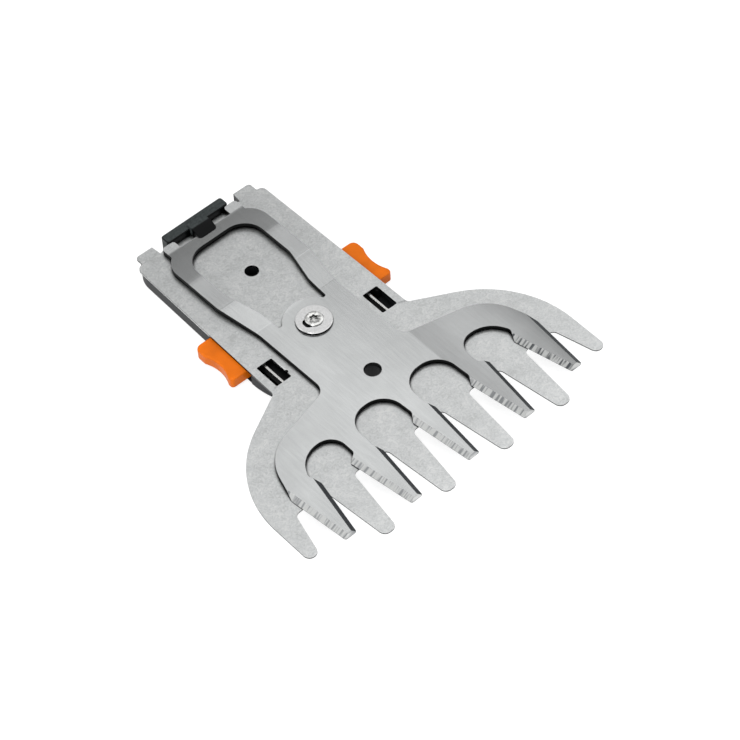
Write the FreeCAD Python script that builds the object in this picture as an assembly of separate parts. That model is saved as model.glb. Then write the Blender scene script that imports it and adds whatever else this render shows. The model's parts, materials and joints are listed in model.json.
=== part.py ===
"""Cutting head of a cordless grass shears: a fixed lower comb, a swinging upper comb,
a plastic tray with two release buttons below, and the pivot stack that joins them.

Frame: +X right, the teeth point to -Y, +Z up. The origin is on the pivot axis at the
underside of the tray. All lengths are in millimetres, all angles in degrees.
"""
import FreeCAD
import Part
import math
import os

V = FreeCAD.Vector

# Lower comb plate
TRAY_H = 5.1
COMB_THICK = 0.9
COMB_HALF_WIDTH = 61.63
SHANK_HALF_FRONT = 28.0
SHANK_TAPER = 1.4
SHANK_HALF_REAR = SHANK_HALF_FRONT - SHANK_TAPER
SHANK_FRONT_Y = -13.0
REAR_EDGE_R = 60.4
SHANK_REAR_INSET = 2.2
SHANK_REAR_Y = REAR_EDGE_R - SHANK_REAR_INSET
SHANK_CORNER_R = 1.5
SHOULDER_SLOPE = 28.6
SHOULDER_R = 38.0
EAR_SIDE_INSET = 2.45
EAR_OUTER_X = SHANK_HALF_REAR - EAR_SIDE_INSET
EAR_WIDTH = 7.65
EAR_INNER_X = EAR_OUTER_X - EAR_WIDTH
EAR_LENGTH = 3.9
EAR_REAR_Y = SHANK_REAR_Y + EAR_LENGTH
EAR_FLARE = 0.85
EAR_CORNER_R = 1.2
EAR_ROOT_R = 0.4
SHANK_REAR_CORNER_R = 2.3

# Teeth of the lower comb
LOWER_PITCH = 24.2
LOWER_ROOT_Y = -54.0
LOWER_ROOT_R = 2.0
LOWER_ROOT_W = 10.8
LOWER_TIP_W = 5.0
LOWER_LEAN = 0.65
LOWER_TIP_R = 2.45
LOWER_INNER_TIP_Y = -79.1
LOWER_SECOND_TIP_Y = -78.5
LOWER_OUTER_TIP_Y = -69.9
LOWER_OUTER_ROOT_W = 8.2
LOWER_OUTER_TIP_W = 4.2
RELIEF_DEPTH = 0.5
RELIEF_INSET = 0.5

# Holes and windows of the lower comb
DRIVE_HOLE_Y = 31.5
DRIVE_HOLE_R = 2.42
WINDOW_INSET = 5.85
WINDOW_X = SHANK_HALF_FRONT - WINDOW_INSET
WINDOW_Y = -6.27
WINDOW_W = 6.06
WINDOW_L = 10.1
WINDOW_CORNER_R = 0.5
WINDOW_NICK_R = 0.65
WINDOW_NICK_Y = -8.7
LOCK_HOLE_EXTRA = 0.4

# Upper comb blade
BLADE_GAP = 0.3
BLADE_RUN_CLEAR = 0.05
BLADE_THICK = 1.4
REST_SWING = 0.83
BLADE_SHANK_HALF = 16.4
RING_WIDENING = 2.8
RING_HALF = BLADE_SHANK_HALF + RING_WIDENING
RING_FRONT_Y = 25.0
RING_FRONT_R = 8.0
RING_TAPER_Y = 8.0
RING_TAPER_R = 20.0
RING_REAR_INSET = 6.3
RING_REAR_Y = REAR_EDGE_R - RING_REAR_INSET
RING_CORNER_R = 8.5
RING_BAND = 5.55
RING_REAR_BAND = 4.5
RING_OPEN_HALF = RING_HALF - RING_BAND
RING_OPEN_REAR_Y = RING_REAR_Y - RING_REAR_BAND
RING_OPEN_CORNER_R = 8.0
RING_OPEN_NECK_Y = 27.5
RING_OPEN_NECK_R = 8.0
WAIST_BAND = 5.95
RING_OPEN_WAIST_HALF = BLADE_SHANK_HALF - WAIST_BAND
RING_OPEN_WAIST_Y = 14.5
RING_OPEN_WAIST_R = 12.0
END_BAND = 6.4
RING_OPEN_END_HALF = BLADE_SHANK_HALF - END_BAND
RING_OPEN_END_Y = 5.5
RING_OPEN_END_R = 0.7
PIVOT_DISC_R = 10.3
LOCK_HOLE_Y = -27.96
LOCK_HOLE_R = 2.92

# Side form of the upper blade: it steps up over the drive opening and down again
STEP_RISE = 0.7
STEP_START_Y = 9.0
STEP_TOP_Y = 24.0
STEP_END_Y = 39.5
REAR_LIFT = 0.4

# Rear prongs and tongue of the upper blade
PRONG_INSET = 3.5
PRONG_OUTER_X = RING_HALF - PRONG_INSET
PRONG_WIDTH = 5.1
PRONG_INNER_X = PRONG_OUTER_X - PRONG_WIDTH
PRONG_LENGTH = 3.7
PRONG_REAR_Y = RING_REAR_Y + PRONG_LENGTH
PRONG_CORNER_R = 1.2
PRONG_ROOT = 2.0
PRONG_SHEAR = 1.0
TONGUE_HALF = 3.2
TONGUE_EXTRA = 1.2
TONGUE_REAR_Y = PRONG_REAR_Y + TONGUE_EXTRA
TONGUE_HOLE_INSET = 2.6
TONGUE_HOLE_Y = TONGUE_REAR_Y - TONGUE_HOLE_INSET
TONGUE_HOLE_R = 1.0

# Wings and teeth of the upper comb
WING_FRONT_Y = -23.6
WING_FILLET_R = 4.5
WING_KNEE_X = 46.2
WING_KNEE_Y = -30.9
WING_KNEE_R = 17.0
WING_CREASE_OUT = 2.6
WING_CREASE_X = BLADE_SHANK_HALF + WING_CREASE_OUT
WING_BEND = 0.35
UPPER_PITCH = 23.7
UPPER_TIP_HALF = 2.25
UPPER_TIP_R = 0.9
UPPER_TIP_Y = -74.7
UPPER_OUTER_TIP_Y = -71.1
CUSP_CENTRE = (4.7, -52.0)
CUSP_SIDE_INNER = (18.5, -53.5)
CUSP_SIDE_OUTER = (29.2, -50.5)
CUSP_END_INNER = (40.6, -49.8)
CUSP_END_OUTER = (51.8, -48.8)
INNER_GULLET_Y = -36.9
INNER_GULLET_R = 8.0
OUTER_GULLET_Y = -38.2
OUTER_GULLET_R = 6.0
OUTER_GULLET_SLANT_R = 10.0
GULLET_HOOK_R = 2.0
INNER_GULLET_HOOK_OUT = (1.7, 2.9)
INNER_GULLET_IN_OUT = 1.05
INNER_GULLET_HOOK_IN = (2.0, 2.8)
INNER_GULLET_IN_IN = 1.4
OUTER_GULLET_HOOK_OUT = (2.0, 4.0)
OUTER_GULLET_OUT_OUT = 2.0
OUTER_GULLET_HOOK_IN = (3.1, 1.9)
OUTER_GULLET_IN_IN = 3.2
BEVEL_WIDTH = 1.7
BEVEL_LAND = 0.12
TIP_BEVEL_WIDTH = 0.8

# Pivot stack
SCREW_R = 2.5
SCREW_HEAD_R = 3.05
SCREW_HEAD_H = 0.6
SCREW_HEAD_EDGE = 0.25
SCREW_TIP_Z = 1.8
PLATE_BORE_CLEAR = 0.1
BUSH_R = 3.9
BUSH_RUN_CLEAR = 0.05
BUSH_BORE_CLEAR = 0.05
WASHER_R = 6.05
WASHER_THICK = 0.95
WASHER_EDGE = 0.15
WASHER_SLOT_HALF = 1.9
WASHER_SLOT_LEFT = 4.1
WASHER_SLOT_RIGHT = 3.2
WASHER_SLOT_R = 1.5
LOBE_COUNT = 6
LOBE_CORE_R = 1.15
LOBE_R = 0.36
RECESS_DEPTH = 1.0
SPRING_WASHER_R = 4.4
SPRING_WASHER_THICK = 0.45
SPRING_WASHER_H = 0.75
NUT_FLATS = 8.0
NUT_H = 2.45

# Guide shoe on the rear of the upper blade
SHOE_LAP = 2.2
SHOE_HALF = PRONG_INNER_X + SHOE_LAP
SHOE_DEPTH = 4.1
SHOE_REAR_Y = PRONG_REAR_Y + SHOE_DEPTH
SHOE_TOP = 2.75
SHOE_BOTTOM_Z = 2.9
SHOE_LIP = 1.8
SHOE_EDGE_R = 1.0
SHOE_TOP_EDGE = 0.35
SHOE_EDGE_CLEAR = 0.3
SHOE_FACE_CLEAR = 0.1
STEM_HALF = 3.6
STEM_LENGTH = 5.5
STEM_FRONT_Y = PRONG_REAR_Y - STEM_LENGTH
STEM_ROOT = 1.5
STEM_FRONT_TOP = 2.4
STEM_TOP = 3.5
STEM_CREST = 1.5
STEM_FRONT_R = 1.2
TONGUE_FIT = 0.02

# Tray
TRAY_WALL = 1.6
TRAY_FLOOR = 1.2
NOSE_Y = -2.0
TRAY_REAR_CORNER_R = 9.5
TRAY_BOTTOM_EDGE = 0.8
SHOE_ROOM = 0.5
BOSS_ROOT = 0.2
PIVOT_BOSS_R = 6.6
PIVOT_BOSS_CLEAR = 0.2
NUT_POCKET_CLEAR = 0.1
DRIVE_BOSS_R = 4.8
DRIVE_SOCKET_CLEAR = 0.2
LOCK_BOSS_WALL = 2.2
RIB_THICK = 1.0
RIB_TOP_CLEAR = 0.3
GUIDE_INSET = 0.5

# Tray screws and the nuts welded under the plate
SCREW_REAR_INSET = 8.85
SCREW_REAR_SETBACK = 15.4
SCREW_REAR_Y = REAR_EDGE_R - SCREW_REAR_SETBACK
SCREW_FRONT_INSET = 5.85
SCREW_RIB_CLEAR = 0.25
FIX_R = 1.5
FIX_CLEAR = 0.2
FIX_HEAD_R = 2.7
FIX_HEAD_H = 1.4
FIX_HEAD_SINK = 0.35
FIX_HEAD_EDGE = 0.4
FIX_TIP_GAP = 0.2
FIX_BOSS_R = 3.9
FIX_SOCKET_FLATS = 2.0
FIX_SOCKET_DEPTH = 0.8
WELD_NUT_FLATS = 5.5
WELD_NUT_H = 2.4

# Release buttons, slides, latch bars and leaf springs
BUTTON_TRAVEL = 2.0
BUTTON_STAND = 5.6
BUTTON_REACH = SHANK_HALF_FRONT + BUTTON_STAND
BUTTON_REAR_Y = 19.8
BUTTON_LENGTH = 18.9
BUTTON_FRONT_Y = BUTTON_REAR_Y - BUTTON_LENGTH
BUTTON_FRONT_ROOM = 2.4
BUTTON_GATE_Y = BUTTON_FRONT_Y - BUTTON_FRONT_ROOM
BUTTON_CORNER_R = 2.2
BUTTON_NOSE_R = 1.2
BUTTON_Z0 = 0.6
BUTTON_Z1 = 4.9
BUTTON_EDGE = 0.35
SCOOP_R = 13.6
SCOOP_Y = 8.9
SCOOP_DEPTH = 1.4
BUTTON_PLAY = 0.15
BUTTON_END_CLEAR = 0.3
FLANGE_INSET = 2.4
FLANGE_X = SHANK_HALF_FRONT - FLANGE_INSET
FLANGE_THICK = 1.2
FLANGE_LAP = 0.9
TENON_DEPTH = 2.2
TENON_Y = 9.0
TENON_L = 6.0
TENON_Z = 3.0
TENON_H = 1.6
TENON_FIT = 0.05
SLIDE_WIDTH = 9.1
SLIDE_INNER_X = FLANGE_X - SLIDE_WIDTH
SLIDE_FRONT_Y = -13.8
SLIDE_REAR_Y = 19.5
SLIDE_RAISE = 0.1
SLIDE_STEP_Y = 0.5
SLIDE_BAR_MARGIN = 0.6
SLIDE_TOP_CLEAR = 0.3
SLIDE_POCKET_L = 8.0
SLIDE_POCKET_W = 3.4
SLIDE_POCKET_Y = 12.5
SLIDE_POCKET_FLOOR = 1.0
SLIDE_GUIDE_CLEAR = 0.2
BAR_W = 1.0
BAR_OFFSET = 0.3
BAR_X = WINDOW_X - BAR_OFFSET
BAR_TOP_CLEAR = 0.35
BAR_H = 1.6
BAR_REAR_Y = 5.0
BAR_EDGE_R = 0.3
SPRING_GAP = 4.3
SPRING_STRIP = 0.4
SPRING_TALL = 2.2
SPRING_Y0 = 5.0
SPRING_Y1 = 13.0

# Heights that follow from the values above
PLATE_Z = TRAY_H
PLATE_TOP = PLATE_Z + COMB_THICK
BLADE_Z = PLATE_TOP + BLADE_GAP
BLADE_TOP = BLADE_Z + BLADE_THICK
BUSH_TOP = BLADE_TOP + BLADE_RUN_CLEAR
WASHER_TOP = BUSH_TOP + WASHER_THICK
HEAD_TOP = WASHER_TOP + SCREW_HEAD_H
SPRING_WASHER_Z = PLATE_Z - SPRING_WASHER_H
NUT_Z = SPRING_WASHER_Z - NUT_H
WELD_NUT_Z = PLATE_Z - WELD_NUT_H
FIX_SEAT_Z = FIX_HEAD_SINK + FIX_HEAD_H
SLIDE_Z = TRAY_FLOOR + SLIDE_RAISE
BAR_TOP_Z = PLATE_Z - BAR_TOP_CLEAR
BAR_Z = BAR_TOP_Z - BAR_H
SLIDE_TOP_Z = PLATE_Z - SLIDE_TOP_CLEAR


def profile(corners):
    """Closed face through (x, y, radius) corners, each corner rounded by a tangent arc."""
    count = len(corners)
    points = [V(c[0], c[1], 0) for c in corners]
    edges_len = [(points[(i + 1) % count] - points[i]).Length for i in range(count)]
    tangents = []
    halves = []
    for i in range(count):
        before = points[i] - points[i - 1]
        after = points[(i + 1) % count] - points[i]
        half = before.getAngle(after) / 2.0
        halves.append(half)
        tangents.append(corners[i][2] * math.tan(half))
    for i in range(count):
        j = (i + 1) % count
        need = tangents[i] + tangents[j]
        room = edges_len[i] * 0.999
        if need > room:
            tangents[i] *= room / need
            tangents[j] *= room / need
    pieces = []
    starts = []
    ends = []
    for i in range(count):
        before = (points[i - 1] - points[i]).normalize()
        after = (points[(i + 1) % count] - points[i]).normalize()
        starts.append(points[i] + before * tangents[i])
        ends.append(points[i] + after * tangents[i])
    for i in range(count):
        if tangents[i] > 1e-6:
            radius = tangents[i] / math.tan(halves[i])
            before = (points[i - 1] - points[i]).normalize()
            after = (points[(i + 1) % count] - points[i]).normalize()
            inward = (before + after).normalize()
            middle = points[i] + inward * (radius / math.cos(halves[i]) - radius)
            pieces.append(Part.Arc(starts[i], middle, ends[i]).toShape())
        j = (i + 1) % count
        if (starts[j] - ends[i]).Length > 1e-6:
            pieces.append(Part.LineSegment(ends[i], starts[j]).toShape())
    return Part.Face(Part.Wire(pieces))


def prism(corners, z0, z1):
    """Upright prism of a rounded profile between two heights."""
    face = profile(corners)
    face.translate(V(0, 0, z0))
    return face.extrude(V(0, 0, z1 - z0))


def both_sides(half):
    """Full outline from the corners of its right half, listed from rear to front."""
    left = [(-x, y, r) for x, y, r in reversed(half)]
    return half + left


def mirror(shape):
    """Copy on the other side of the YZ plane."""
    return shape.mirror(V(0, 0, 0), V(1, 0, 0))


def rod(x, y, radius, z0, z1):
    """Upright cylinder."""
    return Part.makeCylinder(radius, z1 - z0, V(x, y, z0))


def hexagon(x, y, flats, z0, z1):
    """Upright hexagonal prism, flats is the width across its flats."""
    reach = flats / math.sqrt(3.0)
    corners = []
    for i in range(6):
        turn = math.radians(60.0 * i)
        corners.append((x + reach * math.cos(turn), y + reach * math.sin(turn), 0.0))
    return prism(corners, z0, z1)


def block(x0, x1, y0, y1, z0, z1):
    """Box between two corners."""
    return Part.makeBox(x1 - x0, y1 - y0, z1 - z0, V(x0, y0, z0))


def shank_half(y):
    """Half width of the plate's shank at y, it narrows evenly to the rear."""
    share = (y - SHANK_FRONT_Y) / (SHANK_REAR_Y - SHANK_FRONT_Y)
    return SHANK_HALF_FRONT + share * (SHANK_HALF_REAR - SHANK_HALF_FRONT)


def rear_notch(radius, half_inset, z0, z1):
    """Space between the two ears outside a circle about the pivot."""
    inner = EAR_INNER_X + half_inset
    outer = inner + EAR_FLARE
    low = radius * 0.9
    far = EAR_REAR_Y + 1.0
    body = prism([(inner, low, 0), (outer, far, 0), (-outer, far, 0), (-inner, low, 0)], z0, z1)
    return body.cut(rod(0, 0, radius, z0 - 1.0, z1 + 1.0))


def lower_teeth_corners():
    """Right half of the lower comb from the outer tooth to the middle gap."""
    outer_in = COMB_HALF_WIDTH - LOWER_OUTER_TIP_W
    root_in = COMB_HALF_WIDTH - LOWER_OUTER_ROOT_W
    corners = [(COMB_HALF_WIDTH, LOWER_OUTER_TIP_Y, LOWER_TIP_R)]
    corners.append((outer_in, LOWER_OUTER_TIP_Y, LOWER_TIP_R))
    corners.append((root_in, LOWER_ROOT_Y, LOWER_ROOT_R))
    for index, tip_y in ((1, LOWER_SECOND_TIP_Y), (0, LOWER_INNER_TIP_Y)):
        tip_x = (index + 0.5) * LOWER_PITCH
        root_x = tip_x - LOWER_LEAN
        corners.append((root_x + LOWER_ROOT_W / 2, LOWER_ROOT_Y, LOWER_ROOT_R))
        corners.append((tip_x + LOWER_TIP_W / 2, tip_y, LOWER_TIP_R))
        corners.append((tip_x - LOWER_TIP_W / 2, tip_y, LOWER_TIP_R))
        corners.append((root_x - LOWER_ROOT_W / 2, LOWER_ROOT_Y, LOWER_ROOT_R))
    return corners


def relieved(corners, front_y):
    """The same corners with every edge in front of front_y moved inwards for the relief."""
    count = len(corners)
    points = [V(c[0], c[1], 0) for c in corners]
    sense = sum(points[i].cross(points[(i + 1) % count]).z for i in range(count))
    turn = 1.0 if sense > 0 else -1.0
    moved = []
    for i in range(count):
        j = (i + 1) % count
        along = (points[j] - points[i]).normalize()
        front = min(points[i].y, points[j].y) < front_y
        inset = RELIEF_INSET if front and max(points[i].y, points[j].y) < front_y else 0.0
        inward = V(-along.y, along.x, 0) * turn
        moved.append((points[i] + inward * inset, along, inset))
    out = []
    for i in range(count):
        p0, d0, inset0 = moved[i - 1]
        p1, d1, inset1 = moved[i]
        cross = d0.x * d1.y - d0.y * d1.x
        gap = p1 - p0
        share = (gap.x * d1.y - gap.y * d1.x) / cross
        point = p0 + d0 * share
        radius = corners[i][2]
        if inset0 > 0 and inset1 > 0:
            radius = radius - RELIEF_INSET if cross * turn > 0 else radius + RELIEF_INSET
        out.append((point.x, point.y, radius))
    return out


def make_lower_blade():
    """Stamped comb plate with teeth ground from below, two ears, windows and holes."""
    drop = (COMB_HALF_WIDTH - SHANK_HALF_FRONT) * math.tan(math.radians(SHOULDER_SLOPE))
    half = [
        (EAR_OUTER_X, EAR_REAR_Y, EAR_CORNER_R),
        (EAR_OUTER_X, SHANK_REAR_Y, EAR_ROOT_R),
        (SHANK_HALF_REAR, SHANK_REAR_Y, SHANK_REAR_CORNER_R),
        (SHANK_HALF_FRONT, SHANK_FRONT_Y, SHANK_CORNER_R),
        (COMB_HALF_WIDTH, SHANK_FRONT_Y - drop, SHOULDER_R),
    ]
    half += lower_teeth_corners()
    outline = both_sides(half)
    land_z = PLATE_Z + RELIEF_DEPTH
    top_wire = profile(outline).OuterWire
    top_wire.translate(V(0, 0, land_z))
    low_wire = profile(relieved(outline, SHANK_FRONT_Y - 1.0)).OuterWire
    low_wire.translate(V(0, 0, PLATE_Z))
    ground = Part.makeLoft([low_wire, top_wire], True, True)
    plate = prism(outline, land_z, PLATE_TOP).fuse(ground)
    plate = plate.cut(rear_notch(REAR_EDGE_R, 0.0, PLATE_Z - 1.0, PLATE_TOP + 1.0))
    low = PLATE_Z - 1.0
    high = PLATE_TOP + 1.0
    cuts = [rod(0, 0, SCREW_R + PLATE_BORE_CLEAR, low, high)]
    cuts.append(rod(0, DRIVE_HOLE_Y, DRIVE_HOLE_R, low, high))
    cuts.append(rod(0, LOCK_HOLE_Y, LOCK_HOLE_R + LOCK_HOLE_EXTRA, low, high))
    window = window_cut(low, high)
    cuts.append(window)
    cuts.append(mirror(window))
    nick_x = -(WINDOW_X - WINDOW_W / 2)
    cuts.append(rod(nick_x, WINDOW_NICK_Y, WINDOW_NICK_R, low, high))
    for cut in cuts:
        plate = plate.cut(cut)
    return plate


def window_cut(z0, z1):
    """Right hook window."""
    x0 = WINDOW_X - WINDOW_W / 2
    x1 = WINDOW_X + WINDOW_W / 2
    y0 = WINDOW_Y - WINDOW_L / 2
    y1 = WINDOW_Y + WINDOW_L / 2
    r = WINDOW_CORNER_R
    return prism([(x0, y0, r), (x1, y0, r), (x1, y1, r), (x0, y1, r)], z0, z1)


def blade_underside(y):
    """Height of the upper blade's underside at y."""
    if y <= STEP_START_Y:
        return BLADE_Z
    if y <= STEP_TOP_Y:
        return BLADE_Z + STEP_RISE * (y - STEP_START_Y) / (STEP_TOP_Y - STEP_START_Y)
    if y <= STEP_END_Y:
        return BLADE_Z + STEP_RISE
    share = min(1.0, (y - STEP_END_Y) / (RING_REAR_Y - STEP_END_Y))
    return BLADE_Z + STEP_RISE + share * (REAR_LIFT - STEP_RISE)


def blade_side_form():
    """Bent sheet: the side form of the upper blade, wider than the blade."""
    front = UPPER_TIP_Y - 5.0
    rear = TONGUE_REAR_Y + 5.0
    line = [front, STEP_START_Y, STEP_TOP_Y, STEP_END_Y, RING_REAR_Y, rear]
    low = [V(0, y, blade_underside(y)) for y in line]
    high = [V(0, y, blade_underside(y) + BLADE_THICK) for y in reversed(line)]
    wire = Part.makePolygon(low + high + [low[0]])
    width = CUSP_END_OUTER[0] + 5.0
    sheet = Part.Face(wire)
    sheet.translate(V(-width, 0, 0))
    sheet = sheet.extrude(V(2 * width, 0, 0))
    wing_y = WING_FRONT_Y + WING_FILLET_R
    flat = block(WING_CREASE_X, width + 1.0, front - 1.0, wing_y, BLADE_Z - 1.0, BLADE_TOP + 1.0)
    sheet = sheet.cut([flat, mirror(flat)])
    wing = wing_sheet()
    return sheet.fuse([wing, mirror(wing)])


def tooth_corners(tooth, outer_cusp, inner_cusp, tip_y):
    """Corners of one upper tooth of the right half, from its outer to its inner cusp."""
    centre = tooth * UPPER_PITCH
    return [
        (outer_cusp[0], outer_cusp[1], 0.0),
        (centre + UPPER_TIP_HALF, tip_y, UPPER_TIP_R),
        (centre - UPPER_TIP_HALF, tip_y, UPPER_TIP_R),
        (inner_cusp[0], inner_cusp[1], 0.0),
    ]


def gullet_outer():
    """Rounded throat between the end tooth and the side tooth, outer side first."""
    x_in = CUSP_END_INNER[0]
    y_in = CUSP_END_INNER[1]
    x_out = CUSP_SIDE_OUTER[0]
    y_out = CUSP_SIDE_OUTER[1]
    hook_out = OUTER_GULLET_HOOK_OUT
    hook_in = OUTER_GULLET_HOOK_IN
    return [
        (x_in + hook_out[0], y_in + hook_out[1], GULLET_HOOK_R),
        (x_in - OUTER_GULLET_OUT_OUT, OUTER_GULLET_Y, OUTER_GULLET_SLANT_R),
        (x_out - OUTER_GULLET_IN_IN, OUTER_GULLET_Y, OUTER_GULLET_R),
        (x_out - hook_in[0], y_out + hook_in[1], GULLET_HOOK_R),
    ]


def gullet_inner():
    """Rounded throat between the side tooth and the centre tooth, outer side first."""
    hook_out = INNER_GULLET_HOOK_OUT
    hook_in = INNER_GULLET_HOOK_IN
    return [
        (CUSP_SIDE_INNER[0] + hook_out[0], CUSP_SIDE_INNER[1] + hook_out[1], GULLET_HOOK_R),
        (CUSP_SIDE_INNER[0] + INNER_GULLET_IN_OUT, INNER_GULLET_Y, INNER_GULLET_R),
        (CUSP_CENTRE[0] - INNER_GULLET_IN_IN, INNER_GULLET_Y, INNER_GULLET_R),
        (CUSP_CENTRE[0] - hook_in[0], CUSP_CENTRE[1] + hook_in[1], GULLET_HOOK_R),
    ]


def upper_outline():
    """Rounded outline of the upper blade without the prongs and the tongue."""
    half = [
        (RING_HALF, RING_REAR_Y, RING_CORNER_R),
        (RING_HALF, RING_FRONT_Y, RING_FRONT_R),
        (BLADE_SHANK_HALF, RING_TAPER_Y, RING_TAPER_R),
        (BLADE_SHANK_HALF, WING_FRONT_Y, WING_FILLET_R),
        (WING_KNEE_X, WING_KNEE_Y, WING_KNEE_R),
    ]
    half += tooth_corners(2, CUSP_END_OUTER, CUSP_END_INNER, UPPER_OUTER_TIP_Y)
    half += gullet_outer()
    half += tooth_corners(1, CUSP_SIDE_OUTER, CUSP_SIDE_INNER, UPPER_TIP_Y)
    half += gullet_inner()
    half.append((CUSP_CENTRE[0], CUSP_CENTRE[1], 0.0))
    half.append((UPPER_TIP_HALF, UPPER_TIP_Y, UPPER_TIP_R))
    return both_sides(half)


def bevel_cutter(cusp, tip, centre_x):
    """Wedge that grinds a cutting bevel along one tooth side, from its tip past its cusp."""
    start = V(cusp[0], cusp[1], 0)
    along = V(tip[0], tip[1], 0) - start
    length = along.Length
    along.normalize()
    outward = V(-along.y, along.x, 0)
    if outward.dot(V(centre_x, (cusp[1] + tip[1]) / 2, 0) - start) > 0:
        outward = outward * -1.0
    depth = BLADE_THICK - BEVEL_LAND
    slope = depth / BEVEL_WIDTH
    over = 1.0
    start = start - along * (2 * BEVEL_WIDTH) - V(0, 0, wing_fall(centre_x))
    section = [
        start + outward * over + V(0, 0, BLADE_TOP - depth - over * slope),
        start + outward * over + V(0, 0, BLADE_TOP + over),
        start - outward * (BEVEL_WIDTH + over / slope) + V(0, 0, BLADE_TOP + over),
    ]
    face = Part.Face(Part.makePolygon(section + [section[0]]))
    return face.extrude(along * (length + 2 * BEVEL_WIDTH + over))


def tip_bevel_cutter(centre, tip_y):
    """Wedge that grinds the end of one upper tooth."""
    depth = BLADE_THICK - BEVEL_LAND
    slope = depth / TIP_BEVEL_WIDTH
    over = 1.0
    top = BLADE_TOP - wing_fall(centre)
    section = [
        V(0, tip_y - over, top - depth - over * slope),
        V(0, tip_y - over, top + over),
        V(0, tip_y + TIP_BEVEL_WIDTH + over / slope, top + over),
    ]
    face = Part.Face(Part.makePolygon(section + [section[0]]))
    reach = UPPER_TIP_HALF + over
    face.translate(V(centre - reach, 0, 0))
    return face.extrude(V(2 * reach, 0, 0))


def bevel_cutters():
    """The bevel wedges of all tooth sides and ends."""
    tips = []
    for tooth, tip_y in ((0, UPPER_TIP_Y), (1, UPPER_TIP_Y), (2, UPPER_OUTER_TIP_Y)):
        tips.append((tooth * UPPER_PITCH, tip_y))
    sides = [
        (CUSP_CENTRE, (tips[0][0] + UPPER_TIP_HALF, tips[0][1]), tips[0][0]),
        (CUSP_SIDE_INNER, (tips[1][0] - UPPER_TIP_HALF, tips[1][1]), tips[1][0]),
        (CUSP_SIDE_OUTER, (tips[1][0] + UPPER_TIP_HALF, tips[1][1]), tips[1][0]),
        (CUSP_END_INNER, (tips[2][0] - UPPER_TIP_HALF, tips[2][1]), tips[2][0]),
        (CUSP_END_OUTER, (tips[2][0] + UPPER_TIP_HALF, tips[2][1]), tips[2][0]),
    ]
    cutters = []
    for centre, tip_y in tips:
        cutters.append(tip_bevel_cutter(centre, tip_y))
        if centre > 0:
            cutters.append(tip_bevel_cutter(-centre, tip_y))
    for cusp, tip, centre_x in sides:
        cutter = bevel_cutter(cusp, tip, centre_x)
        cutters.append(cutter)
        cutters.append(mirror(cutter))
    return cutters


def wing_fall(x):
    """How far the bent wing lies below the middle of the blade at x."""
    return max(0.0, abs(x) - WING_CREASE_X) * math.tan(math.radians(WING_BEND))


def wing_sheet():
    """Right wing's bent sheet: it falls evenly outwards from its crease."""
    far = CUSP_END_OUTER[0] + 5.0
    fall = wing_fall(far)
    section = [
        V(WING_CREASE_X, 0, BLADE_Z),
        V(far, 0, BLADE_Z - fall),
        V(far, 0, BLADE_TOP - fall),
        V(WING_CREASE_X, 0, BLADE_TOP),
    ]
    face = Part.Face(Part.makePolygon(section + [section[0]]))
    face.translate(V(0, WING_FRONT_Y + WING_FILLET_R, 0))
    return face.extrude(V(0, UPPER_TIP_Y - WING_FRONT_Y - WING_FILLET_R - 5.0, 0))


def ring_opening():
    """Drive opening of the ring, its front edge is concentric with the pivot."""
    half = [
        (RING_OPEN_HALF, RING_OPEN_REAR_Y, RING_OPEN_CORNER_R),
        (RING_OPEN_HALF, RING_OPEN_NECK_Y, RING_OPEN_NECK_R),
        (RING_OPEN_WAIST_HALF, RING_OPEN_WAIST_Y, RING_OPEN_WAIST_R),
        (RING_OPEN_END_HALF, RING_OPEN_END_Y, RING_OPEN_END_R),
    ]
    low = PLATE_TOP - 1.0
    high = BLADE_TOP + STEP_RISE + 2.0
    opening = prism(both_sides(half), low, high)
    return opening.cut(rod(0, 0, PIVOT_DISC_R, low - 1.0, high + 1.0))


def swing(shape):
    """Turn a piece of the swinging assembly to the position it rests at."""
    shape.rotate(V(0, 0, 0), V(0, 0, 1), REST_SWING)
    return shape


def make_upper_blade():
    """Bent and ground upper comb with the drive ring, two prongs and a hidden tongue."""
    low = BLADE_Z - 3.0
    high = BLADE_TOP + STEP_RISE + 3.0
    plan = prism(upper_outline(), low, high)
    root_y = RING_REAR_Y - PRONG_ROOT
    r = PRONG_CORNER_R
    prong = prism([
        (PRONG_INNER_X, root_y, 0),
        (PRONG_OUTER_X, root_y - PRONG_SHEAR, 0),
        (PRONG_OUTER_X, PRONG_REAR_Y, r),
        (PRONG_INNER_X, PRONG_REAR_Y, r),
    ], low, high)
    tongue = block(-TONGUE_HALF, TONGUE_HALF, root_y, TONGUE_REAR_Y, low, high)
    plan = plan.fuse([prong, mirror(prong), tongue])
    plan = plan.cut(ring_opening())
    plan = plan.cut(rod(0, 0, BUSH_R + BUSH_RUN_CLEAR, low, high))
    plan = plan.cut(rod(0, LOCK_HOLE_Y, LOCK_HOLE_R, low, high))
    plan = plan.cut(rod(0, TONGUE_HOLE_Y, TONGUE_HOLE_R, low, high))
    blade = blade_side_form().common(plan)
    for cutter in bevel_cutters():
        blade = blade.cut(cutter)
    return swing(blade.removeSplitter())


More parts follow.
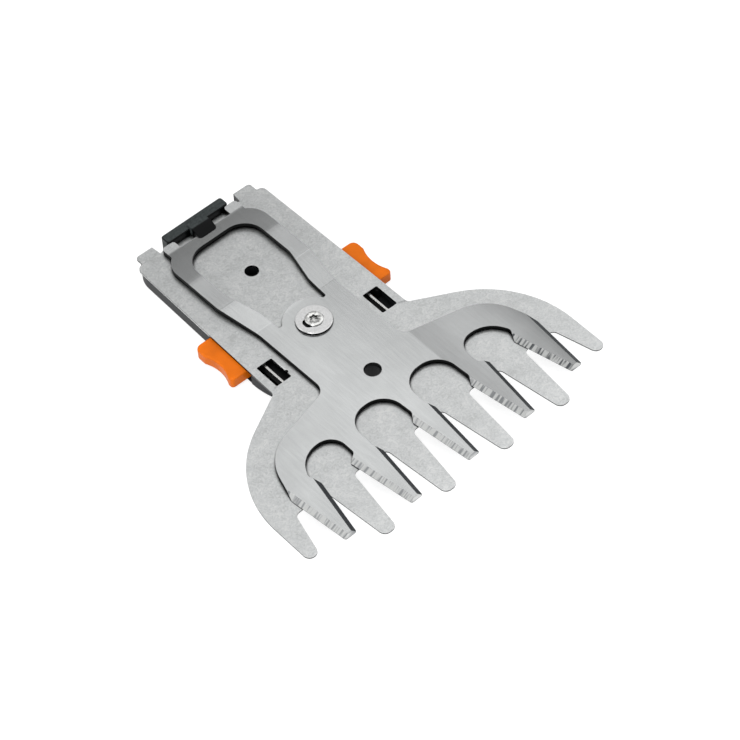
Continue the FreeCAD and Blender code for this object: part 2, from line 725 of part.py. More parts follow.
def make_guide_shoe():
    """Moulded shoe: a bar that grips the plate's rear edge and a stem on the tongue."""
    bar_top = PLATE_TOP + SHOE_TOP
    r = SHOE_EDGE_R
    bar = prism([
        (SHOE_HALF, PRONG_REAR_Y, r),
        (SHOE_HALF, SHOE_REAR_Y, r),
        (-SHOE_HALF, SHOE_REAR_Y, r),
        (-SHOE_HALF, PRONG_REAR_Y, r),
    ], SHOE_BOTTOM_Z, bar_top)
    crown = [e for e in bar.Edges if min(v.Z for v in e.Vertexes) > bar_top - 0.01]
    bar = bar.makeChamfer(SHOE_TOP_EDGE, crown)
    stem_low = PLATE_TOP + SHOE_FACE_CLEAR
    web_y = RING_REAR_Y + TONGUE_FIT
    front_low = blade_underside(STEM_FRONT_Y) + BLADE_THICK + TONGUE_FIT
    web_top = blade_underside(web_y) + BLADE_THICK + TONGUE_FIT
    front_top = PLATE_TOP + STEM_FRONT_TOP
    stem_top = PLATE_TOP + STEM_TOP
    side = [
        V(-STEM_HALF, STEM_FRONT_Y, front_low),
        V(-STEM_HALF, web_y, web_top),
        V(-STEM_HALF, web_y, stem_low),
        V(-STEM_HALF, PRONG_REAR_Y + STEM_ROOT, stem_low),
        V(-STEM_HALF, PRONG_REAR_Y + STEM_ROOT, stem_top),
        V(-STEM_HALF, PRONG_REAR_Y - STEM_CREST, stem_top),
        V(-STEM_HALF, STEM_FRONT_Y, front_top),
    ]
    stem = Part.Face(Part.makePolygon(side + [side[0]])).extrude(V(2 * STEM_HALF, 0, 0))
    fr = STEM_FRONT_R
    stem = stem.common(prism([
        (STEM_HALF, PRONG_REAR_Y + 2 * STEM_ROOT, 0),
        (-STEM_HALF, PRONG_REAR_Y + 2 * STEM_ROOT, 0),
        (-STEM_HALF, STEM_FRONT_Y, fr),
        (STEM_HALF, STEM_FRONT_Y, fr),
    ], SHOE_BOTTOM_Z, stem_top + 1.0))
    shoe = bar.fuse(stem)
    fit = TONGUE_FIT
    low = PLATE_Z - SHOE_FACE_CLEAR
    high = PLATE_TOP + SHOE_FACE_CLEAR
    shoe = shoe.cut(rod(0, 0, REAR_EDGE_R + SHOE_EDGE_CLEAR, low, high))
    shoe = shoe.cut(rod(0, 0, REAR_EDGE_R - SHOE_LIP, 0.0, low + 0.01))
    tongue_z = blade_underside(TONGUE_REAR_Y)
    shoe = shoe.cut(block(-TONGUE_HALF - fit, TONGUE_HALF + fit, RING_REAR_Y - 1.0,
                          TONGUE_REAR_Y + fit, low, tongue_z + BLADE_THICK + fit))
    peg = rod(0, TONGUE_HOLE_Y, TONGUE_HOLE_R - fit, tongue_z, tongue_z + BLADE_THICK + 2 * fit)
    shoe = shoe.fuse(peg)
    return swing(shoe.removeSplitter())


def make_pivot_screw():
    """Low-head screw with a lobed recess, its shank clamps the whole stack."""
    head = rod(0, 0, SCREW_HEAD_R, WASHER_TOP, HEAD_TOP)
    rim = [e for e in head.Edges if e.BoundBox.ZMin > HEAD_TOP - 0.01]
    head = head.makeChamfer(SCREW_HEAD_EDGE, rim)
    screw = head.fuse(rod(0, 0, SCREW_R, SCREW_TIP_Z, WASHER_TOP))
    low = HEAD_TOP - RECESS_DEPTH
    high = HEAD_TOP + 1.0
    recess = rod(0, 0, LOBE_CORE_R, low, high)
    for i in range(LOBE_COUNT):
        turn = math.radians(360.0 * i / LOBE_COUNT)
        x = LOBE_CORE_R * math.cos(turn)
        y = LOBE_CORE_R * math.sin(turn)
        recess = recess.fuse(rod(x, y, LOBE_R, low, high))
    return screw.cut(recess).removeSplitter()


def make_ring(inner, outer, z0, z1, edge):
    """Flat ring with a broken outer edge on both faces."""
    section = [
        V(inner, 0, z0),
        V(outer - edge, 0, z0),
        V(outer, 0, z0 + edge),
        V(outer, 0, z1 - edge),
        V(outer - edge, 0, z1),
        V(inner, 0, z1),
    ]
    face = Part.Face(Part.makePolygon(section + [section[0]]))
    return face.revolve(V(0, 0, 0), V(0, 0, 1), 360)


def make_pivot_washer():
    """Hardened washer over the bush, its keyed hole shows beside the screw head."""
    ring = make_ring(SCREW_R + BUSH_BORE_CLEAR, WASHER_R, BUSH_TOP, WASHER_TOP, WASHER_EDGE)
    r = WASHER_SLOT_R
    slot = prism([
        (WASHER_SLOT_RIGHT, WASHER_SLOT_HALF, r),
        (-WASHER_SLOT_LEFT, WASHER_SLOT_HALF, r),
        (-WASHER_SLOT_LEFT, -WASHER_SLOT_HALF, r),
        (WASHER_SLOT_RIGHT, -WASHER_SLOT_HALF, r),
    ], BUSH_TOP - 1.0, WASHER_TOP + 1.0)
    return ring.cut(slot)


def make_pivot_bush():
    """Spacer bush that the upper blade turns on."""
    bush = rod(0, 0, BUSH_R, PLATE_TOP, BUSH_TOP)
    return bush.cut(rod(0, 0, SCREW_R + BUSH_BORE_CLEAR, PLATE_TOP - 1.0, BUSH_TOP + 1.0))


def make_pivot_spring_washer():
    """Conical spring washer under the plate."""
    inner = SCREW_R + PLATE_BORE_CLEAR
    section = [
        V(inner, 0, SPRING_WASHER_Z),
        V(SPRING_WASHER_R, 0, PLATE_Z - SPRING_WASHER_THICK),
        V(SPRING_WASHER_R, 0, PLATE_Z),
        V(inner, 0, SPRING_WASHER_Z + SPRING_WASHER_THICK),
    ]
    face = Part.Face(Part.makePolygon(section + [section[0]]))
    return face.revolve(V(0, 0, 0), V(0, 0, 1), 360)


def make_pivot_lock_nut():
    """Thin lock nut held in the hexagonal pocket of the tray."""
    nut = hexagon(0, 0, NUT_FLATS, NUT_Z, SPRING_WASHER_Z)
    return nut.cut(rod(0, 0, SCREW_R, NUT_Z - 1.0, SPRING_WASHER_Z + 1.0))


def tray_plan(inset, z0, z1):
    """Solid of the tray's outline moved inwards by inset."""
    half = [
        (shank_half(EAR_REAR_Y) - inset, EAR_REAR_Y - inset, TRAY_REAR_CORNER_R - inset),
        (shank_half(NOSE_Y) - inset, NOSE_Y, 0),
    ]
    body = prism(both_sides(half), z0, z1)
    nose = rod(0, NOSE_Y, shank_half(NOSE_Y) - inset, z0, z1)
    return body.fuse(nose).removeSplitter()


def fixing_points():
    """Plan positions of the four tray screws."""
    rear = (shank_half(SCREW_REAR_Y) - SCREW_REAR_INSET, SCREW_REAR_Y)
    rib_y = SLIDE_FRONT_Y - SLIDE_GUIDE_CLEAR - RIB_THICK
    front_y = rib_y - SCREW_RIB_CLEAR - WELD_NUT_FLATS / 2
    circle = shank_half(NOSE_Y) - SCREW_FRONT_INSET
    front = (math.sqrt(circle ** 2 - (NOSE_Y - front_y) ** 2), front_y)
    points = []
    for x, y in (rear, front):
        points.append((x, y))
        points.append((-x, y))
    return points


def tray_bosses():
    """Bosses and ribs that stand on the tray's floor."""
    z0 = TRAY_FLOOR - BOSS_ROOT
    rib_top = PLATE_Z - RIB_TOP_CLEAR
    parts = [rod(0, 0, PIVOT_BOSS_R, z0, SPRING_WASHER_Z - PIVOT_BOSS_CLEAR)]
    parts.append(rod(0, LOCK_HOLE_Y, LOCK_HOLE_R + LOCK_HOLE_EXTRA + LOCK_BOSS_WALL, 0, PLATE_Z))
    parts.append(rod(0, DRIVE_HOLE_Y, DRIVE_BOSS_R, z0, PLATE_Z))
    for x, y in fixing_points():
        parts.append(rod(x, y, FIX_BOSS_R, z0, WELD_NUT_Z))
    post_x = SLIDE_INNER_X - SPRING_GAP
    guide_in = post_x + GUIDE_INSET
    guide_out = FLANGE_X - FLANGE_THICK - BUTTON_TRAVEL - SLIDE_GUIDE_CLEAR
    front_y = SLIDE_FRONT_Y - SLIDE_GUIDE_CLEAR
    rear_y = SLIDE_REAR_Y + SLIDE_GUIDE_CLEAR
    ribs = [
        block(post_x - RIB_THICK, post_x, SPRING_Y0 - 1.0, SPRING_Y1 + 1.0, z0, rib_top),
        block(guide_in, guide_out, rear_y, rear_y + RIB_THICK, z0, rib_top),
        block(guide_in, guide_out, front_y - RIB_THICK, front_y, z0, rib_top),
    ]
    for rib in ribs:
        parts.append(rib)
        parts.append(mirror(rib))
    reach = shank_half(DRIVE_HOLE_Y) - TRAY_WALL / 2
    parts.append(block(-reach, reach, DRIVE_HOLE_Y - RIB_THICK / 2,
                       DRIVE_HOLE_Y + RIB_THICK / 2, z0, rib_top))
    parts.append(block(-RIB_THICK / 2, RIB_THICK / 2, DRIVE_HOLE_Y,
                       REAR_EDGE_R - SHOE_LIP - SHOE_ROOM - TRAY_WALL / 2, z0, rib_top))
    return parts


def make_base_tray():
    """Moulded tray: floor, walls, bosses, guides and the two button openings."""
    shell = tray_plan(0.0, 0.0, TRAY_H)
    foot = [e for e in shell.Edges if e.BoundBox.ZMax < 0.01]
    shell = shell.makeChamfer(TRAY_BOTTOM_EDGE, foot)
    wall_r = REAR_EDGE_R - SHOE_LIP - SHOE_ROOM
    shell = shell.cut(rear_notch(wall_r, 0.0, -1.0, TRAY_H + 1.0))
    hollow = tray_plan(TRAY_WALL, TRAY_FLOOR, TRAY_H + 1.0)
    hollow = hollow.cut(rear_notch(wall_r - TRAY_WALL, TRAY_WALL, 0.0, TRAY_H + 2.0))
    tray = shell.cut(hollow)
    tray = tray.fuse(tray_bosses())
    pocket = hexagon(0, 0, NUT_FLATS + 2 * NUT_POCKET_CLEAR, TRAY_FLOOR, TRAY_H + 1.0)
    socket = rod(0, DRIVE_HOLE_Y, DRIVE_HOLE_R + DRIVE_SOCKET_CLEAR, TRAY_FLOOR, TRAY_H + 1.0)
    lock = rod(0, LOCK_HOLE_Y, LOCK_HOLE_R + LOCK_HOLE_EXTRA, -1.0, TRAY_H + 1.0)
    cuts = [pocket, socket, lock]
    for x, y in fixing_points():
        cuts.append(rod(x, y, FIX_HEAD_R + FIX_CLEAR, -1.0, FIX_SEAT_Z))
        cuts.append(rod(x, y, FIX_R + FIX_CLEAR, FIX_SEAT_Z - 0.5, WELD_NUT_Z + 1.0))
    play = BUTTON_PLAY
    inner_x = FLANGE_X - BUTTON_TRAVEL - BUTTON_END_CLEAR
    gate = block(inner_x, BUTTON_REACH + 1.0, BUTTON_GATE_Y - play, BUTTON_REAR_Y + play,
                 BUTTON_Z0 - play, TRAY_H + 1.0)
    cuts.append(gate)
    cuts.append(mirror(gate))
    for cut in cuts:
        tray = tray.cut(cut)
    return tray.removeSplitter()


def make_tray_screw(x, y):
    """Pan-head screw that holds the tray from below."""
    head = rod(x, y, FIX_HEAD_R, FIX_HEAD_SINK, FIX_SEAT_Z)
    rim = [e for e in head.Edges if e.BoundBox.ZMax < FIX_HEAD_SINK + 0.01]
    head = head.makeChamfer(FIX_HEAD_EDGE, rim)
    screw = head.fuse(rod(x, y, FIX_R, FIX_SEAT_Z, PLATE_Z - FIX_TIP_GAP))
    low = FIX_HEAD_SINK - 1.0
    return screw.cut(hexagon(x, y, FIX_SOCKET_FLATS, low, FIX_HEAD_SINK + FIX_SOCKET_DEPTH))


def make_weld_nut(x, y):
    """Hexagonal nut welded to the plate's underside."""
    nut = hexagon(x, y, WELD_NUT_FLATS, WELD_NUT_Z, PLATE_Z)
    return nut.cut(rod(x, y, FIX_R, WELD_NUT_Z - 1.0, PLATE_Z + 1.0))


def make_button():
    """Right release button: thumb pad with a shallow scoop and a tenon into the slide."""
    r = BUTTON_CORNER_R
    pad = prism([
        (FLANGE_X, BUTTON_REAR_Y, 0),
        (BUTTON_REACH, BUTTON_REAR_Y, r),
        (BUTTON_REACH, BUTTON_FRONT_Y, BUTTON_NOSE_R),
        (FLANGE_X, BUTTON_FRONT_Y, 0),
    ], BUTTON_Z0, BUTTON_Z1)
    rims = []
    for edge in pad.Edges:
        box = edge.BoundBox
        flat = box.ZMax - box.ZMin < 0.01
        if flat and box.XMax > FLANGE_X + 0.01:
            rims.append(edge)
    pad = pad.makeChamfer(BUTTON_EDGE, rims)
    scoop_x = BUTTON_REACH - SCOOP_DEPTH + SCOOP_R
    over = 1.0
    wide = SCOOP_R + BUTTON_EDGE + over
    deep = BUTTON_EDGE + over
    pad = pad.cut(rod(scoop_x, SCOOP_Y, SCOOP_R, BUTTON_Z0 - over, BUTTON_Z1 + over))
    upper = V(scoop_x, SCOOP_Y, BUTTON_Z1 - BUTTON_EDGE)
    lower = V(scoop_x, SCOOP_Y, BUTTON_Z0 - over)
    pad = pad.cut(Part.makeCone(SCOOP_R, wide, deep, upper))
    pad = pad.cut(Part.makeCone(wide, SCOOP_R, deep, lower))
    return pad.fuse(tenon(0.0)).removeSplitter()


def tenon(grow):
    """Tenon of the right button, or its mortise when grown by the fit."""
    return block(FLANGE_X - TENON_DEPTH - grow, FLANGE_X,
                 TENON_Y - TENON_L / 2 - grow, TENON_Y + TENON_L / 2 + grow,
                 TENON_Z - TENON_H / 2 - grow, TENON_Z + TENON_H / 2 + grow)


def make_latch_slide():
    """Right slide: its flange stops behind the tray's wall and it carries the latch bar."""
    x0 = SLIDE_INNER_X
    x1 = FLANGE_X - FLANGE_THICK
    toe_x = BAR_X + BAR_W / 2 + SLIDE_BAR_MARGIN
    slide = block(x0, toe_x, SLIDE_FRONT_Y, SLIDE_STEP_Y, SLIDE_Z, BAR_Z)
    slide = slide.fuse(block(x0, x1, SLIDE_STEP_Y, SLIDE_REAR_Y, SLIDE_Z, SLIDE_TOP_Z))
    flange = block(x1, FLANGE_X, BUTTON_GATE_Y - FLANGE_LAP, BUTTON_REAR_Y + FLANGE_LAP,
                   SLIDE_Z, BUTTON_Z1)
    slide = slide.fuse(flange).cut(tenon(TENON_FIT))
    groove = block(BAR_X - BAR_W / 2, BAR_X + BAR_W / 2, SLIDE_STEP_Y - 1.0, BAR_REAR_Y,
                   BAR_Z, SLIDE_TOP_Z + 1.0)
    middle = (x0 + x1) / 2
    pocket = block(middle - SLIDE_POCKET_W / 2, middle + SLIDE_POCKET_W / 2,
                   SLIDE_POCKET_Y - SLIDE_POCKET_L / 2, SLIDE_POCKET_Y + SLIDE_POCKET_L / 2,
                   SLIDE_Z + SLIDE_POCKET_FLOOR, SLIDE_TOP_Z + 1.0)
    return slide.cut(groove).cut(pocket).removeSplitter()


def make_latch_bar():
    """Right steel latch bar, it lies in the slide and crosses the hook window."""
    bar = block(BAR_X - BAR_W / 2, BAR_X + BAR_W / 2, SLIDE_FRONT_Y, BAR_REAR_Y,
                BAR_Z, BAR_TOP_Z)
    edges = []
    for edge in bar.Edges:
        box = edge.BoundBox
        if box.YMax - box.YMin > 1.0 and box.ZMin > BAR_TOP_Z - 0.01:
            edges.append(edge)
    return bar.makeFillet(BAR_EDGE_R, edges)


def make_button_spring():
    """Right leaf spring, bent to a U between the tray's post and the slide."""
    x0 = SLIDE_INNER_X - SPRING_GAP
    x1 = SLIDE_INNER_X
    bend = SPRING_GAP / 2
    z0 = SLIDE_Z
    z1 = SLIDE_Z + SPRING_TALL
    strip = SPRING_STRIP
    outer = prism([(x0, SPRING_Y0, 0), (x0, SPRING_Y1, bend), (x1, SPRING_Y1, bend),
                   (x1, SPRING_Y0, 0)], z0, z1)
    inner = prism([(x0 + strip, SPRING_Y0 - 1.0, 0), (x0 + strip, SPRING_Y1 - strip, bend - strip),
                   (x1 - strip, SPRING_Y1 - strip, bend - strip), (x1 - strip, SPRING_Y0 - 1.0, 0)],
                  z0 - 1.0, z1 + 1.0)
    return outer.cut(inner)


def build_parts():
    """All sub-parts by node name."""
    parts = {
        "lower_blade": make_lower_blade(),
        "upper_blade": make_upper_blade(),
        "base_tray": make_base_tray(),
        "guide_shoe": make_guide_shoe(),
        "pivot_screw": make_pivot_screw(),
        "pivot_washer": make_pivot_washer(),
        "pivot_bush": make_pivot_bush(),
        "pivot_spring_washer": make_pivot_spring_washer(),
        "pivot_lock_nut": make_pivot_lock_nut(),
    }
    pairs = (
        ("button", make_button()),
        ("latch_slide", make_latch_slide()),
        ("latch_bar", make_latch_bar()),
        ("button_spring", make_button_spring()),
    )
    for name, shape in pairs:
        parts["right_" + name] = shape
        parts["left_" + name] = mirror(shape)
    for i, (x, y) in enumerate(fixing_points()):
        parts["tray_screw_%d" % (i + 1)] = make_tray_screw(x, y)
        parts["weld_nut_%d" % (i + 1)] = make_weld_nut(x, y)
    return parts


def main():
    os.makedirs("parts", exist_ok=True)
    for name, shape in build_parts().items():
        if shape.ShapeType == "Compound" and len(shape.Solids) == 1:
            shape = shape.Solids[0]
        shape.exportStep("parts/" + name + ".step")
        box = shape.BoundBox
        print("%-20s solids %d valid %s volume %9.2f  x %7.2f %7.2f  y %7.2f %7.2f  z %6.2f %6.2f" % (
            name, len(shape.Solids), shape.isValid(), shape.Volume,
            box.XMin, box.XMax, box.YMin, box.YMax, box.ZMin, box.ZMax))


main()
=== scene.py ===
import bpy
import json
import math
from mathutils import Matrix, Vector


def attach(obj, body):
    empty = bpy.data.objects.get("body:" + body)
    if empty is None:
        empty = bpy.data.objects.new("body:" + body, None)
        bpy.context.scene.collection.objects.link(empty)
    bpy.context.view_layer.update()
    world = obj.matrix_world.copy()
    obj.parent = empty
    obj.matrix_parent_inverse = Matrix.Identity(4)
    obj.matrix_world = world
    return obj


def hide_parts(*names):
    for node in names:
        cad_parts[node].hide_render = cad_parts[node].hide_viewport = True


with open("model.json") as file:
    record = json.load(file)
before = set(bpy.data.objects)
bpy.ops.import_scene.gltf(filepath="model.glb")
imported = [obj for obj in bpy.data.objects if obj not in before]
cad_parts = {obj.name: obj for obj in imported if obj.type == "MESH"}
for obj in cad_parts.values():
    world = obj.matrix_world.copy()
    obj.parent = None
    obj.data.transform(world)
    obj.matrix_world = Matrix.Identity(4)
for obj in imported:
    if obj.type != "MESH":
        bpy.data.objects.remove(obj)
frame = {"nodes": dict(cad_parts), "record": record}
bpy.ops.object.select_all(action="DESELECT")
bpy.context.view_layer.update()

MM = 0.001
NODES = frame["nodes"]
RECORD = frame["record"]
BODY_OF = {node: body for body, nodes in RECORD["behaviour"]["bodies"].items() for node in nodes}

# Places on the part in mm: y from the pivot axis, z from the tray's underside
SHOULDER_FRONT, SHOULDER_REAR = -30.0, -20.0
JOGGLE_START, JOGGLE_END = 9.0, 24.0
STEM_REAR = 56.6
LOCK_HOLE = Vector((0.0, -27.96))
LOCK_HOLE_REACH = 4.0
PLATE_TOP = 6.0

# Painted shade, in crevices and on shaded walls, is the darkest tone on the part
SHADE_BLACK = "060707"


def linear(code):
    """Linear colour of an sRGB hex value such as c8c9c7."""
    shares = [int(code[i:i + 2], 16) / 255.0 for i in (0, 2, 4)]
    return (*(c / 12.92 if c <= 0.04045 else ((c + 0.055) / 1.055) ** 2.4 for c in shares), 1.0)


def scaled(colour, factor):
    """A linear colour made darker or lighter by a factor, and no lighter than white."""
    return (*(min(1.0, c * factor) for c in colour[:3]), 1.0)


def grey(level):
    """Linear grey of a level."""
    return (level, level, level, 1.0)


def per_mm(size):
    """Scale of a noise whose features are about this many mm across."""
    return 1.0 / (size * MM)


def socket(sockets, key):
    """The socket with this identifier, as several sockets of a node can share a name."""
    return next(each for each in sockets if each.identifier == key)


def add(tree, kind, settings=None, inputs=None, stops=()):
    """Adds a node with its settings, its inputs and, on a colour ramp, its (place, colour) stops.

    An input given as (node, "socket") is linked, and any other value is set.
    """
    made = tree.nodes.new("ShaderNode" + kind)
    for name, value in (settings or {}).items():
        setattr(made, name, value)
    for name, value in (inputs or {}).items():
        target = socket(made.inputs, name)
        if isinstance(value, tuple) and isinstance(value[0], bpy.types.Node):
            tree.links.new(socket(value[0].outputs, value[1]), target)
        else:
            target.default_value = value
    if stops:
        elements = made.color_ramp.elements
        elements[0].position, elements[0].color = stops[0]
        elements[1].position, elements[1].color = stops[-1]
        for position, colour in stops[1:-1]:
            elements.new(position).color = colour
    return made


def cleared(owner):
    """The emptied node tree of a new material or world."""
    owner.use_nodes = True
    owner.node_tree.nodes.clear()
    return owner.node_tree


def blank(name):
    """A new material, its emptied tree and the node with its coordinates."""
    made = bpy.data.materials.new(name)
    tree = cleared(made)
    return made, tree, add(tree, "TexCoord")


def surface(tree, inputs):
    """Ends a material with its shader, which gets these inputs."""
    shader = add(tree, "BsdfPrincipled", inputs=inputs)
    add(tree, "OutputMaterial", inputs={"Surface": (shader, "BSDF")})


def crevice_shade(tree, colour, reach_mm, black=0.5, unshaded=0.74, own=False):
    """Paints shade: darkens a colour close beside another piece, or in the piece's own holes."""
    crevice = add(tree, "AmbientOcclusion", {"samples": 8, "only_local": own}, {
        "Distance": reach_mm * MM})
    clear = add(tree, "MapRange", inputs={
        "Value": (crevice, "AO"), "From Min": black, "From Max": unshaded})
    return add(tree, "Mix", {"data_type": "RGBA"}, {
        "Factor_Float": (clear, "Result"), "A_Color": linear(SHADE_BLACK), "B_Color": colour})


def painted_shade_tones(tree, along, stops):
    """Painted shade as grey tones along a coordinate, from (mm, tone) stops."""
    low, high = stops[0][0], stops[-1][0]
    share = add(tree, "MapRange", inputs={
        "Value": along, "From Min": low * MM, "From Max": high * MM})
    return add(tree, "ValToRGB", inputs={"Fac": (share, "Result")}, stops=[
        ((at - low) / (high - low), grey(tone)) for at, tone in stops])


# Painted shade and painted reflection of the steel faces, as tones in mm along the part. BOW is
# the swinging comb's over x: its left side leans to the light and is painted lighter, and the
# right wing is painted darker at its crease, lighter again and darker away to its end. RING is
# the swinging comb's over y, painted lighter and darker over its joggles, and SHANK is the comb
# plate's over y, painted darker to the rear.
BOW = ((-55.0, 0.93), (-40.0, 0.91), (-22.0, 0.94), (-11.0, 1.00), (3.0, 0.90),
       (12.0, 0.82), (18.9, 0.81), (19.1, 0.62), (23.0, 0.64), (30.0, 0.73),
       (36.0, 0.73), (42.0, 0.67), (47.0, 0.56), (52.0, 0.38))
RING = ((-64.0, 0.93), (-48.0, 1.0), (-10.0, 1.0), (9.0, 1.03), (21.8, 1.0), (25.6, 0.82),
        (37.5, 0.84), (41.0, 0.57), (53.6, 0.50), (54.6, 1.0))
SHANK = ((-72.0, 1.05), (-64.0, 1.0), (8.0, 1.0), (24.0, 0.96), (38.0, 0.92), (56.0, 0.92))


# Tumbled spring steel of the comb plate: hardened sheet that was barrel finished, so its faces
# are pale and even under the faint curly rub marks of tumbling chips, 1.3 mm across, and painted
# darker toward the rear as shade. Its sheared walls and the teeth's rim are painted dark as
# shade, and painted shade darkens it close beside the swinging comb.
def tumbled_steel():
    made, tree, place = blank("tumbled_hardened_steel")
    spot = add(tree, "SeparateXYZ", inputs={"Vector": (place, "Object")})
    facing = add(tree, "SeparateXYZ", inputs={"Vector": (place, "Normal")})
    rubs = add(tree, "TexNoise", inputs={
        "Vector": (place, "Object"), "Scale": per_mm(1.3), "Detail": 3.0, "Roughness": 0.6,
        "Distortion": 1.6})
    cloud = add(tree, "TexNoise", inputs={
        "Vector": (place, "Object"), "Scale": per_mm(5.0), "Detail": 2.0})
    blend = add(tree, "Mix", {"data_type": "FLOAT"}, {
        "Factor_Float": 0.25, "A_Float": (rubs, "Fac"), "B_Float": (cloud, "Fac")})
    face = add(tree, "ValToRGB", inputs={"Fac": (blend, "Result_Float")}, stops=[
        (0.34, linear("cccecd")), (0.5, linear("dddfdf")), (0.66, linear("eeefee"))])
    # Painted shade: the plate's faces are darker toward the rear
    rear = painted_shade_tones(tree, (spot, "Y"), SHANK)
    shaded = add(tree, "Mix", {"data_type": "RGBA", "blend_type": "MULTIPLY"}, {
        "Factor_Float": 1.0, "A_Color": (face, "Color"), "B_Color": (rear, "Color")})
    # Walls are painted dark as shade, and along the teeth the rounded rim is painted dark too
    steep = add(tree, "Math", {"operation": "ABSOLUTE"}, {"Value": (facing, "Z")})
    limit = add(tree, "MapRange", inputs={
        "Value": (spot, "Y"), "From Min": SHOULDER_FRONT * MM, "From Max": SHOULDER_REAR * MM,
        "To Min": 0.95, "To Max": 0.5})
    level = add(tree, "Math", {"operation": "GREATER_THAN"}, {
        "Value": (steep, "Value"), "Value_001": (limit, "Result")})
    plain = add(tree, "Mix", {"data_type": "RGBA"}, {
        "Factor_Float": (level, "Value"), "A_Color": linear("1e2022"),
        "B_Color": (shaded, "Result_Color")})
    # Painted shade: darker close beside the swinging comb
    crevice_shaded = crevice_shade(tree, (plain, "Result_Color"), 2.0)
    shine = add(tree, "MapRange", inputs={
        "Value": (rubs, "Fac"), "From Min": 0.3, "From Max": 0.7, "To Min": 0.30, "To Max": 0.40})
    bump = add(tree, "Bump", inputs={
        "Strength": 0.3, "Distance": 0.012 * MM, "Height": (blend, "Result_Float")})
    surface(tree, {
        "Base Color": (crevice_shaded, "Result_Color"), "Metallic": 0.9,
        "Roughness": (shine, "Result"), "Normal": (bump, "Normal")})
    return made


